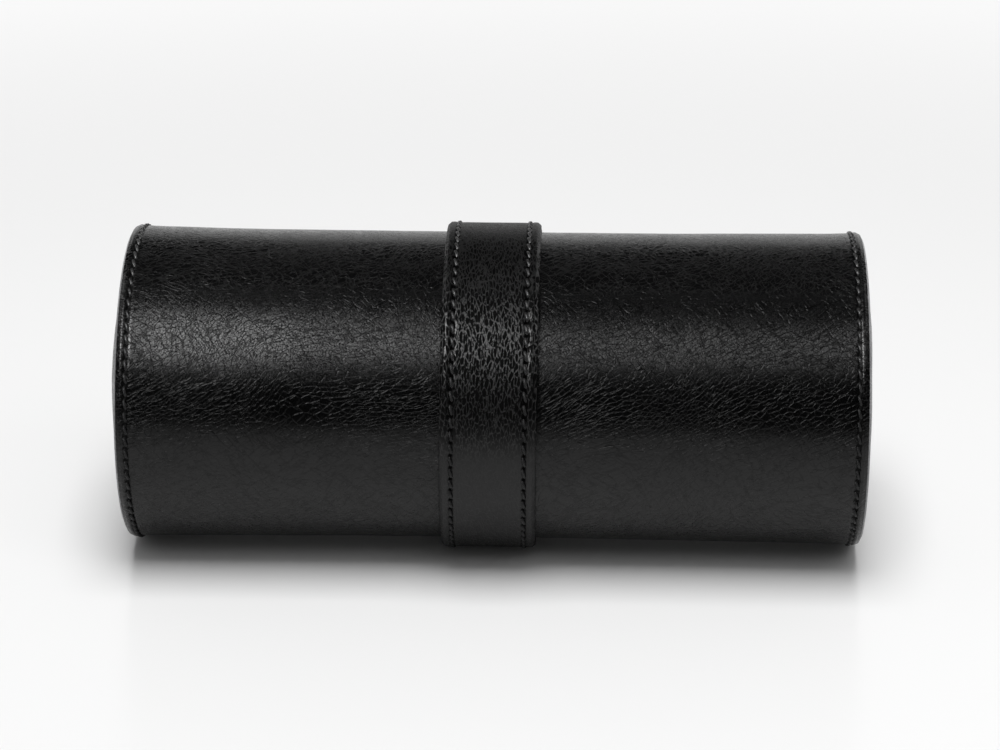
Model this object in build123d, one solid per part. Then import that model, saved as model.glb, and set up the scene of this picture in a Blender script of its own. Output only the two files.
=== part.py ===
from build123d import *
import math
import os

# Cylindrical leather jewellery roll, lying on its side. Millimetres, +Z up, +X along the roll,
# -Y towards the viewer. Angles run round the roll's axis in the YZ plane:
# 0 is the back, 90 the top, 180 the front and 270 the underside.

# Overall size
HALF_LENGTH = 101.5
ROLL_RADIUS = 43.0
FLAT_HALF_WIDTH = 9.0

# Closing strap
STRAP_WIDTH = 26.0
STRAP_THICKNESS = 2.5
STRAP_LINING = 1.0
STRAP_STITCH_INSET = 3.1
STRAP_CLEARANCE = 0.15

# Layers of the roll, from the outside in
LEATHER = 1.1
FLAP_BOARD = 0.8
FLAP_LINING = 0.7
CRADLE_RADIUS = 40.0
CRADLE_BOARD = 1.6
SUEDE = 0.8

# Angles round the roll
HINGE_ANGLE = 66.0
FOLD_ANGLE = 160.0
FLAP_EDGE_ANGLE = 249.0
TAB_END_ANGLE = 267.0
LIP_ANGLE = 205.0
OPEN_DIRECTION = 135.0
LEATHER_GAP = 2.5
BOARD_GAP = 0.8
STRAP_GAP = 3.5
EDGE_GAP = 2.0
TAB_GAP = 0.6
STRAP_END_GAP = 1.0

# Stitching
STITCH_INSET = 2.6
THREAD_WIDTH = 0.7
GROOVE_DEPTH = 0.35
THREAD_HEIGHT = 0.3
STITCH_MARGIN = 1.0

# End caps
END_BOARD_FROM = 96.4
END_BOARD = 3.0
CAP_RISE = 6.0
CAP_LEATHER = 1.2

# Inside
BAYS = 3
DIVIDER_BOARD = 1.6
DIVIDER_HEIGHT = 26.0
LIP_BINDING_ANGLE = 2.0
CUSHION_HALF_WIDTH = 27.0
CUSHION_HALF_HEIGHT = 22.5
CUSHION_LENGTH = 58.0
CUSHION_GAP = 0.3
CUSHION_FILLET = 7.0

# Hidden magnets
MAGNET_RADIUS = 4.0
MAGNET_HEIGHT = 0.8
MAGNET_ANGLE = 257.0
TAB_MAGNET_FROM = 43.45
KEEPER_FROM = 40.6

strap_radius = ROLL_RADIUS + STRAP_THICKNESS
axis_height = math.sqrt(strap_radius ** 2 - FLAT_HALF_WIDTH ** 2)
lining_radius = CRADLE_RADIUS - CRADLE_BOARD - SUEDE
leather_inner = ROLL_RADIUS - LEATHER
flap_inner = leather_inner - FLAP_BOARD - FLAP_LINING
strap_split = ROLL_RADIUS + STRAP_LINING
half_strap = STRAP_WIDTH / 2
bay_half = END_BOARD_FROM - SUEDE
divider_total = DIVIDER_BOARD + 2 * SUEDE
bay_length = (2 * bay_half - (BAYS - 1) * divider_total) / BAYS

rear_from = FLAP_EDGE_ANGLE + EDGE_GAP - 360
rear_to = HINGE_ANGLE - LEATHER_GAP
cradle_from = LIP_ANGLE - 360
cradle_to = HINGE_ANGLE - BOARD_GAP
strap_rear_from = TAB_END_ANGLE + STRAP_END_GAP - 360

at_axis = Pos(0, 0, axis_height)
below_floor = Pos(0, 0, -20) * Box(300, 140, 40)


def spot(radius, angle):
    """Point in the roll's cross-section."""
    turn = math.radians(angle)
    return (radius * math.cos(turn), radius * math.sin(turn))


def panel(inner, outer, start, end, x_from, x_to):
    """Curved sheet round the roll's axis."""
    middle = (start + end) / 2
    edges = [
        ThreePointArc(spot(outer, start), spot(outer, middle), spot(outer, end)),
        Line(spot(outer, end), spot(inner, end)),
        ThreePointArc(spot(inner, end), spot(inner, middle), spot(inner, start)),
        Line(spot(inner, start), spot(outer, start)),
    ]
    section = Plane.YZ.offset(x_from) * make_face(edges)
    return at_axis * extrude(section, amount=x_to - x_from)


def slab(sketch, x_from, x_to):
    """Flat piece across the roll, from a sketch of its cross-section."""
    section = Plane.YZ.offset(x_from) * sketch
    return at_axis * extrude(section, amount=x_to - x_from)


def dome(rise, radius):
    """Padded end, round about the roll's axis."""
    base = END_BOARD_FROM + END_BOARD
    edges = [
        EllipticalCenterArc((base, 0), rise, radius, start_angle=0, arc_size=90),
        Line((base, radius), (base, 0)),
        Line((base, 0), (base + rise, 0)),
    ]
    return at_axis * revolve(make_face(edges), Axis.X)


def stud(angle, radial_from, radius, height):
    """Round disc whose axis points out from the roll."""
    y, z = spot(radial_from, angle)
    turn = math.radians(angle)
    place = Plane(origin=(0, y, z + axis_height), z_dir=(0, math.cos(turn), math.sin(turn)))
    return extrude(place * Circle(radius), amount=height)


def rounded(sheet, radius, amount):
    """Sheet with its two outer end edges rubbed round."""
    ends = [
        edge
        for edge in sheet.edges().filter_by(GeomType.CIRCLE)
        if abs(edge.radius - radius) < 0.01
    ]
    return fillet(ends, amount)


def stitched(sheet, radius, start, end, offsets):
    """Sheet with sunken stitch lines, and the thread that lies in them."""
    thread = []
    first = start + STITCH_MARGIN
    last = end - STITCH_MARGIN
    for x in offsets:
        low = x - THREAD_WIDTH / 2
        high = x + THREAD_WIDTH / 2
        bed = radius - GROOVE_DEPTH
        sheet = sheet - panel(bed, radius + 1, first, last, low, high)
        thread.append(panel(bed, bed + THREAD_HEIGHT, first, last, low, high))
    return sheet, Compound(children=thread)


def outer_leather(start, end):
    """Outer leather of the roll with its end seams."""
    seam = HALF_LENGTH - STITCH_INSET
    sheet = panel(leather_inner, ROLL_RADIUS, start, end, -HALF_LENGTH, HALF_LENGTH)
    sheet = rounded(sheet, ROLL_RADIUS, 0.5)
    return stitched(sheet, ROLL_RADIUS, start, end, (-seam, seam))


def strap_leather(start, end):
    """Outer layer of the strap with its edge seams."""
    seam = half_strap - STRAP_STITCH_INSET
    sheet = panel(strap_split, strap_radius, start, end, -half_strap, half_strap)
    sheet = rounded(sheet, strap_radius, 0.4)
    return stitched(sheet, strap_radius, start, end, (-seam, seam))


nodes = {}

# Cradle: the fixed trough at the back and underneath
binding_from = cradle_from + LIP_BINDING_ANGLE
board_inner = CRADLE_RADIUS - CRADLE_BOARD
nodes["cradle_board"] = panel(
    board_inner, CRADLE_RADIUS, binding_from, cradle_to, -END_BOARD_FROM, END_BOARD_FROM
)
nodes["cradle_lining"] = panel(
    lining_radius, board_inner, binding_from, cradle_to, -END_BOARD_FROM, END_BOARD_FROM
)
nodes["lip_binding"] = panel(
    lining_radius, CRADLE_RADIUS, cradle_from, binding_from, -END_BOARD_FROM, END_BOARD_FROM
)

# Outer wrap on the cradle
keeper = stud(MAGNET_ANGLE, KEEPER_FROM, MAGNET_RADIUS, MAGNET_HEIGHT)
pad = panel(CRADLE_RADIUS, leather_inner, rear_from, cradle_to, -HALF_LENGTH, HALF_LENGTH)
nodes["wrap_pad"] = pad - keeper
nodes["keeper_magnet"] = keeper
nodes["wrap_leather"], nodes["wrap_thread"] = outer_leather(rear_from, rear_to)

# Leather left thin between the wrap and the flap, where it bends
web_inner = ROLL_RADIUS - 0.8
nodes["hinge_web"] = panel(
    web_inner,
    ROLL_RADIUS,
    rear_to,
    HINGE_ANGLE + LEATHER_GAP - 0.1,
    -HALF_LENGTH,
    HALF_LENGTH,
)

# End caps
cap_from = END_BOARD_FROM + END_BOARD
cap_pad = dome(CAP_RISE - CAP_LEATHER, CRADLE_RADIUS - CAP_LEATHER)
right_end = {
    "end_board": slab(Circle(CRADLE_RADIUS), END_BOARD_FROM, cap_from),
    "end_pad": cap_pad,
    "end_leather": dome(CAP_RISE, CRADLE_RADIUS) - cap_pad,
    "end_lining": slab(Circle(lining_radius), bay_half, END_BOARD_FROM),
}
for name, shape in right_end.items():
    nodes[name + "_right"] = shape
    nodes[name + "_left"] = mirror(shape, about=Plane.YZ)

# Dividers and cushions
below_edge = Rot(0, 0, OPEN_DIRECTION) * Pos(DIVIDER_HEIGHT - 50, 0) * Rectangle(100, 100)
divider_face = Circle(lining_radius) & below_edge
for side, sign in (("left", -1), ("right", 1)):
    centre = sign * (bay_length + divider_total) / 2
    half = DIVIDER_BOARD / 2
    nodes["divider_board_" + side] = slab(divider_face, centre - half, centre + half)
    nodes["divider_suede_" + side] = Compound(
        children=[
            slab(divider_face, centre - half - SUEDE, centre - half),
            slab(divider_face, centre + half, centre + half + SUEDE),
        ]
    )

cushion_sink = lining_radius - CUSHION_GAP - CUSHION_HALF_HEIGHT
cushion_oval = Pos(-cushion_sink, 0) * Ellipse(CUSHION_HALF_HEIGHT, CUSHION_HALF_WIDTH)
cushion_section = Rot(0, 0, OPEN_DIRECTION) * cushion_oval
cushion = slab(cushion_section, -CUSHION_LENGTH / 2, CUSHION_LENGTH / 2)
cushion = fillet(cushion.edges().filter_by(GeomType.ELLIPSE), CUSHION_FILLET)
for index, side in enumerate(("left", "middle", "right")):
    nodes["cushion_" + side] = Pos((index - 1) * (bay_length + divider_total), 0, 0) * cushion

# Strap sewn to the back of the wrap
rear_strap, rear_thread = strap_leather(strap_rear_from, HINGE_ANGLE - STRAP_GAP)
nodes["strap_rear_leather"] = rear_strap - below_floor
nodes["strap_rear_thread"] = rear_thread - below_floor
rear_strap_lining = panel(
    ROLL_RADIUS,
    strap_split,
    strap_rear_from,
    HINGE_ANGLE - STRAP_GAP,
    -half_strap,
    half_strap,
)
nodes["strap_rear_lining"] = rear_strap_lining

# Flap, in two stiffened panels with a soft fold between them
flap_panels = {
    "upper": (HINGE_ANGLE, FOLD_ANGLE, 1, 1),
    "lower": (FOLD_ANGLE, FLAP_EDGE_ANGLE, 1, 0),
}
board_outer = leather_inner
board_face = leather_inner - FLAP_BOARD
for level, (start, end, soft_start, soft_end) in flap_panels.items():
    leather_from = start + LEATHER_GAP * soft_start
    leather_to = end - LEATHER_GAP * soft_end
    board_from = start + BOARD_GAP * soft_start
    board_to = end - BOARD_GAP * soft_end
    strap_from = start + STRAP_GAP * soft_start
    strap_to = end - STRAP_GAP * soft_end
    leather, thread = outer_leather(leather_from, leather_to)
    nodes["flap_" + level + "_leather"] = leather
    nodes["flap_" + level + "_thread"] = thread
    nodes["flap_" + level + "_board"] = panel(
        board_face, board_outer, board_from, board_to, -HALF_LENGTH, HALF_LENGTH
    )
    nodes["flap_" + level + "_lining"] = panel(
        flap_inner, board_face, board_from, board_to, -HALF_LENGTH, HALF_LENGTH
    )
    strap, strap_thread = strap_leather(strap_from, strap_to)
    nodes["strap_" + level + "_leather"] = strap
    nodes["strap_" + level + "_thread"] = strap_thread
    nodes["strap_" + level + "_lining"] = panel(
        ROLL_RADIUS, strap_split, strap_from, strap_to, -half_strap, half_strap
    )

nodes["fold_web"] = panel(
    web_inner,
    ROLL_RADIUS,
    FOLD_ANGLE - LEATHER_GAP,
    FOLD_ANGLE + LEATHER_GAP - 0.1,
    -HALF_LENGTH,
    HALF_LENGTH,
)

# Free end of the strap, which closes under the roll
tab_from = FLAP_EDGE_ANGLE + TAB_GAP
tab_magnet = stud(MAGNET_ANGLE, TAB_MAGNET_FROM, MAGNET_RADIUS, MAGNET_HEIGHT)
tab_leather, tab_thread = strap_leather(tab_from, TAB_END_ANGLE)
nodes["tab_leather"] = tab_leather - below_floor - tab_magnet
nodes["tab_thread"] = tab_thread - below_floor
tab_lining = panel(
    ROLL_RADIUS + STRAP_CLEARANCE, strap_split, tab_from, TAB_END_ANGLE, -half_strap, half_strap
)
nodes["tab_lining"] = tab_lining - tab_magnet
nodes["tab_magnet"] = tab_magnet

os.makedirs("parts", exist_ok=True)
for name, shape in nodes.items():
    export_step(shape, "parts/" + name + ".step")
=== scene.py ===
import math

import bmesh
import bpy
from bpy.props import FloatProperty, FloatVectorProperty, IntProperty, PointerProperty
from mathutils import Matrix, Vector, noise
from mathutils.bvhtree import BVHTree


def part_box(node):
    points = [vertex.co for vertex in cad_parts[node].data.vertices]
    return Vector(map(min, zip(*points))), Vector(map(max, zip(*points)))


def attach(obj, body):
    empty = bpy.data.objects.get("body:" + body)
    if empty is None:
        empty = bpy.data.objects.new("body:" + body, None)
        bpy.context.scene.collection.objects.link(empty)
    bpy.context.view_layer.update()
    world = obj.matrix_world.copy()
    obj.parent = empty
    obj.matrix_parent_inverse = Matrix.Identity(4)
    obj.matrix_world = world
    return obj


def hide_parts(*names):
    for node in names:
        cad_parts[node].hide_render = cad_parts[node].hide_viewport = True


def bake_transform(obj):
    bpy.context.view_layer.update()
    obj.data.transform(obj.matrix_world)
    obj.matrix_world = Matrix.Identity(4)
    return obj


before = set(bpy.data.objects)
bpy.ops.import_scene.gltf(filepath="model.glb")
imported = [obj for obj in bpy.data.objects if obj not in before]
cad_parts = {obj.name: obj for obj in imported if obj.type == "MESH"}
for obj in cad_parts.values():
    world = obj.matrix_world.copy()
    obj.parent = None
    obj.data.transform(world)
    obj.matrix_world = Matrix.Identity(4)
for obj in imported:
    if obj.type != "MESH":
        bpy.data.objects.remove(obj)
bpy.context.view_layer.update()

bl_info = {
    "name": "Leather Jewellery Roll",
    "version": (1, 0, 0),
    "blender": (4, 5, 0),
    "location": "View3D > Sidebar > Jewellery Roll",
    "description": "Leather, strap, seams, suede and cushions for a cylindrical jewellery roll",
    "category": "Object",
}

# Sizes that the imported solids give.
AXIS_Z = sum(corner.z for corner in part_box("end_board_right")) / 2
ROLL_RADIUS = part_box("flap_upper_leather")[1].z - AXIS_Z
STRAP_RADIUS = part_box("strap_upper_leather")[1].z - AXIS_Z
HALF_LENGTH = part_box("wrap_leather")[1].x
HALF_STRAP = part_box("strap_upper_leather")[1].x
CRADLE_RADIUS = (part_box("end_board_right")[1].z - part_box("end_board_right")[0].z) / 2
LINING_RADIUS = (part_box("end_lining_right")[1].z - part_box("end_lining_right")[0].z) / 2

# Where the sheets bend and end, in degrees round the roll: 0 back, 90 top, 180 front.
HINGE_BEND = (62.0, 86.0)
FOLD_BEND = (140.0, 180.0)
TAB_BEND = (248.6, 254.0)
FLAP_EDGE = 249.0
WRAP_EDGE = 251.0
TAB_ROOT = 247.0
TAB_END = 267.0
STRAP_REAR = 268.0
LIP_EDGE = 205.0
LIP_WIDTH = 6.0
OPEN_DIRECTION = 135.0
SEAM_STOP = 1.5
STRAP_SEAM = (-76.5, 257.5)
ROW_STEP = 1.2
HALVES = ("upper", "lower")

# The sheets' edges, seams and gaps, in metres.
RIM_SHARES = (0.03, 0.12, 0.3, 0.55, 0.8, 1.0)
SEAM_STEPS = (0.00012, 0.0003, 0.0005, 0.00075, 0.0011, 0.0015)
SEAM_CLEAR = 0.0017
SEAM_DIP = 0.00026
SEAM_WIDTH = 0.00055
PUFF_WIDTH = 0.0032
FLARE_REACH = 0.011
BACKING_GAP = 0.00005
BACKING_PROUD = 0.0006
STRAP_GAP = 0.00002
TAB_GAP = 0.00015
STRAP_PROUD = 0.00015
STRAP_SWAY = 0.00008
STRAP_PUFF = 0.00016
WRAP_PUFF = 0.00014
WRAP_TAPER = 0.0033
LIP_INSET = 0.0004
LIP_PROUD = 0.0001
STITCH_INPUTS = ("Pitch", "Length", "Thickness", "Slant", "Axis height", "Axis depth")

# The ends, the dividers and the cushions.
CAP_RADIUS = CRADLE_RADIUS + 0.0005
CAP_STEPS = 144
CAP_PUCKERS = 23
CAP_PUCKER_RISE = 0.00022
CAP_WAVES = 0.0003
CAP_SHARES = (0.08, 0.18, 0.3, 0.42, 0.54, 0.65, 0.74, 0.82, 0.88, 0.925, 0.96, 0.985, 1.0)
CHORD_DISTANCE = 0.0258
CORNER_REACH = 0.011
DIVIDER_EDGE = ((1.0, 0.0016), (0.86, 0.0007), (0.55, 0.0002))
DIVIDER_SWELL = 0.0003
LINING_GAP = 0.0002
CUSHION_SEAM = 0.76  # this and the two widths are shares of a cushion's half length
CHANNEL_WIDTH = 0.045
GATHER_WIDTH = 0.14
CUSHION_PLEATS = 23
PLEAT_RISE = 0.00042
CUSHION_WAVES = 0.0007
CUSHION_SLIMMING = 0.0012
CUSHION_GAP = 0.0003
CUSHION_START = 0.95  # size before it is stuffed
CUSHION_PRESSURE = 4.0

# Zones where the leather's coat sheen is painted for how the roll is lit, in mm along the leather
# from the back.
TOP_LINE = math.radians(90.0) * ROLL_RADIUS * 1000
BACK_ENDS = (68.0, 80.0)
PAINTED_GLINT_ENDS = (89.0, 97.0)
PAINTED_SHADE_STARTS = (107.0, 124.0)
PAINTED_EVEN_FROM_TOP = (58.0, 74.0)
STITCH_HOLE = (0.3, 0.95)

# The grain on the wrap and on the strap. A size, in mm, comes after its turn in radians.
GRAIN = {
    "cells": ((-0.6, (2.1, 1.15, 1.3)), (1.57, (2.3, 0.85, 1.1))),
    "valley": ((0.0, 0.1), (0.0, 0.17)),  # from the middle of a valley to a cell's top
    "cell_depth": (0.2, -0.3),  # below 0 the cells sink and the net between them stands out
    "folds": (
        ((0.9, (7.0, 2.0, 3.0)), (-0.6, (6.5, 1.9, 3.0))),
        ((1.75, (4.0, 1.7, 2.0)), (1.35, (4.0, 1.8, 2.2))),
    ),
    "fold_depth": (0.13, 0.07),
    "line": (0.045, 0.035),  # width of a crease
    "drift": (26.0, 6.0),  # how far the grain wanders, in mm
    "ripple": (0.55, 0.7),  # how far a cell's outline wanders, in mm
    "sparkle": (0.05, 0.06),  # height of the specks
    "depth": (0.00028, 0.00042),  # what a height of 1 stands for, in metres
    "gloss": (0.14, 0.26),  # roughness of the tops
    "dull": (0.08, 0.3),  # roughness that the valleys add
    "shine": (0.15, 0.05),
    "coat_sheen": ((0.0, 1.0), (0.35, 1.0)),  # from the dullest speck to the brightest
    "groove": (0.08, 0.0),  # coat sheen left in the valleys
    "net": (1.0, 0.8),  # coat sheen on the net of lines over the top: a painted glint
    "dip": (0.12, 0.9),  # coat sheen left in the dark band below the highlight: painted shade
    "painted_even_sheen": (0.235, 0.32),  # coat sheen painted evenly on the lower half, for how it is lit there
    "lines": (0.4, 0.06),  # how clearly creases show there
    "polish": (0.28, 0.4),  # roughness of the coat sheen
    "coat": (1.6, 1.78),
}

# The stage: floor, lamps and camera.
FLOOR_FRONT = -0.24
FLOOR_REACH = 6.0
FLOOR_DROP = 0.00005
FLOOR_FADE = (0.22, 0.75)
FLOOR_GLOW = 0.8
WALL = ((-1.6, 0.9, 0.0), (1.6, 1.1, 0.6))
WALL_GLOW = 0.78
WORLD_SEEN = 0.84
WORLD_SPREAD = 0.2
WORLD_MIRRORED = 0.005
ROLL_MIDDLE = (0.0, 0.0, 0.05)
# Name, place, aim, size and power of the lamps that only show as reflections.
SOFTBOXES = (
    ("key", (-0.4, -0.56, 0.755), (-0.4, 0, 0.04), (0.42, 0.64), 9.5),
    ("left", (-0.9, 0.12, 0.42), ROLL_MIDDLE, (0.6, 0.7), 2.2),
    ("right", (0.9, 0.12, 0.42), ROLL_MIDDLE, (0.6, 0.7), 2.2),
    ("over", (0.0, 0.26, 0.9), ROLL_MIDDLE, (1.5, 0.68), 0.36),
)
FILL = ("fill", (0.25, -0.58, 0.76), (0.03, 0, 0.04), (0.8, 0.46), 1.5)
CEILING = ("ceiling", (0.0, -0.4, 1.75), (0.0, 0.0, 0.0), (0.8, 1.3), 28.4)
CAMERA_PLACE = (0.02503, -0.8869, 0.38505)
CAMERA_YAW, CAMERA_PITCH, CAMERA_ROLL = -0.02687, -0.36356, -0.00279
CAMERA_LENS = 121.62


def metres(name, description, default):
    return FloatProperty(name=name, description=description, default=default, unit="LENGTH")


def paint(name, description, default):
    return FloatVectorProperty(
        name=name, description=description, default=default, subtype="COLOR"
    )


class RollSizes(bpy.types.PropertyGroup):
    """Sizes of the wrap, its strap and its seams."""

    leather: metres("Leather", "Thickness of the outer leather", 0.0011)
    backing: metres("Backing", "Thickness of the lined backing under the leather", 0.00142)
    bevel: metres("Bevel", "Width of the painted bevel along the leather's edges", 0.0011)
    flare: metres("End flare", "How far the wrap opens out at its two ends", 0.0004)
    waist: metres("Waist", "How much slimmer the roll is at its strap than at its ends", 0.0007)
    strap_lean: metres("Strap lean", "How far the strap leans from top to bottom", 0.00037)
    strap_shift: metres("Strap shift", "How far the strap sits left of the middle", 0.001)
    sway: metres("Sway", "Height of the leather's long soft waves", 0.00016)
    seam_inset: metres("End seam inset", "Distance of the end seams from the edge", 0.0026)
    strap_lining: metres("Strap lining", "Thickness of the strap's inner layer", 0.001)
    strap_inset: metres("Strap seam inset", "Distance of the strap's seams from its edge", 0.0031)
    cap_left: metres("Left cap", "Rise of the left end", 0.0064)
    cap_right: metres("Right cap", "Rise of the right end", 0.0052)


class StitchSizes(bpy.types.PropertyGroup):
    """Sizes of the stitches."""

    pitch: metres("Pitch", "Length of one stitch and its gap", 0.0035)
    length: metres("Length", "Visible length of a stitch", 0.0027)
    thickness: metres("Thread", "Diameter of the thread", 0.00085)
    slant: FloatProperty(
        name="Slant", description="Turn of each stitch off the seam", default=0.26, unit="ROTATION"
    )


class CushionSizes(bpy.types.PropertyGroup):
    """How the cushions are stuffed and sewn."""

    voxel: metres("Cloth size", "Grid of the simulated cloth", 0.0042)
    swell: metres("Swell", "Most that the stuffing may push out", 0.006)
    seam_depth: metres("Seam depth", "Depth of the sewn channels", 0.0011)
    frames: IntProperty(
        name="Frames", description="Steps of the cloth simulation", default=20, min=2
    )


class RollColours(bpy.types.PropertyGroup):
    """Colours of the roll and of the floor."""

    leather: paint("Leather", "Black leather", (0.0012, 0.0012, 0.0013))
    edge: paint("Edge paint", "Painted edges", (0.012, 0.012, 0.0125))
    thread: paint("Thread", "Seam thread", (0.007, 0.007, 0.0073))
    suede: paint("Suede", "Lining and cushions", (0.27, 0.27, 0.275))
    board: paint("Board", "Stiff board", (0.05, 0.05, 0.05))
    metal: paint("Magnets", "Plated magnets", (0.62, 0.62, 0.62))
    floor: paint("Floor", "Glossy white floor", (0.9, 0.9, 0.9))


def arithmetic(operation):
    """Two methods that feed a wire and another value to a math node, in either order."""

    def plain(self, other):
        return self.graph.math(operation, self, other)

    def reflected(self, other):
        return self.graph.math(operation, other, self)

    return plain, reflected


class Wire:
    """A node's socket that can stand in a Python expression."""

    def __init__(self, graph, socket):
        self.graph = graph
        self.socket = socket

    __add__, __radd__ = arithmetic("ADD")
    __sub__, __rsub__ = arithmetic("SUBTRACT")
    __mul__, __rmul__ = arithmetic("MULTIPLY")
    __pow__, __rpow__ = arithmetic("POWER")
    __mod__, __rmod__ = arithmetic("FLOORED_MODULO")

    def __abs__(self):
        return self.graph.math("ABSOLUTE", self, 0.0)


class Graph:
    """A node tree that is filled one node at a time."""

    def __init__(self, tree):
        self.tree = tree

    def add(self, kind, settings=None, inputs=None, output=0):
        """Adds a node, sets it up, feeds its sockets and returns one of its outputs."""
        node = self.tree.nodes.new(kind)
        for key, value in (settings or {}).items():
            setattr(node, key, value)
        for key, value in (inputs or {}).items():
            if isinstance(value, Wire):
                self.tree.links.new(value.socket, node.inputs[key])
            else:
                node.inputs[key].default_value = value
        return Wire(self, node.outputs[output]) if len(node.outputs) else node

    def math(self, operation, first, second):
        return self.add("ShaderNodeMath", {"operation": operation}, {0: first, 1: second})

    def place(self, own_map=False):
        """Where a point lies in mm: on the piece's own map, or in the part's frame."""
        kind, output = ("UVMap", "UV") if own_map else ("TexCoord", "Object")
        return self.scaled(self.add("ShaderNode" + kind, {}, None, output), 1000.0)

    def part(self, vector, axis):
        return self.add("ShaderNodeSeparateXYZ", {}, {0: vector}, axis)

    def vector(self, *parts):
        return self.add("ShaderNodeCombineXYZ", {}, dict(enumerate(parts)))

    def scaled(self, vector, factor):
        return self.add(
            "ShaderNodeVectorMath", {"operation": "SCALE"}, {0: vector, "Scale": factor}
        )

    def stretched(self, vector, turn, size):
        """Turns a place and measures it in lengths of the given size."""
        return self.add(
            "ShaderNodeMapping",
            {"vector_type": "TEXTURE"},
            {"Vector": vector, "Rotation": (0, 0, turn), "Scale": size},
        )

    def moved(self, vector, amount):
        return self.add("ShaderNodeVectorMath", {"operation": "ADD"}, {0: vector, 1: amount})

    def eased(self, value, low, high, first=0.0, last=1.0):
        return self.add(
            "ShaderNodeMapRange",
            {"interpolation_type": "SMOOTHSTEP"},
            {"Value": value, 1: low, 2: high, 3: first, 4: last},
        )

    def cells(self, vector, feature, output):
        return self.add(
            "ShaderNodeTexVoronoi", {"feature": feature}, {"Vector": vector, "Scale": 1.0}, output
        )

    def clouds(self, vector, scale, detail, output=0):
        return self.add(
            "ShaderNodeTexNoise", {}, {"Vector": vector, "Scale": scale, "Detail": detail}, output
        )

    def crease(self, vector, width):
        """Thin wandering lines, 0 in a line and 1 beside it."""
        return self.eased(abs(self.clouds(vector, 1.0, 1.5) - 0.5), 0.0, width)

    def bump(self, strength, distance, height):
        return self.add(
            "ShaderNodeBump", {}, {"Strength": strength, "Distance": distance, "Height": height}
        )

    def tint(self, factor, first, second):
        return self.add(
            "ShaderNodeMix",
            {"data_type": "RGBA"},
            {0: factor, 6: (*first, 1.0), 7: (*second, 1.0)},
            2,
        )


def finish_material(name, build, *values):
    """Makes a node material; build fills the graph and gives the shader's values."""
    material = bpy.data.materials.new(name)
    material.use_nodes = True
    tree = material.node_tree
    tree.nodes.clear()
    graph = Graph(tree)
    shader = graph.add("ShaderNodeBsdfPrincipled", {}, build(graph, *values))
    graph.add("ShaderNodeOutputMaterial", {}, {"Surface": shader})
    return material


def shade(colour, factor):
    return tuple(channel * factor for channel in colour)


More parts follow.
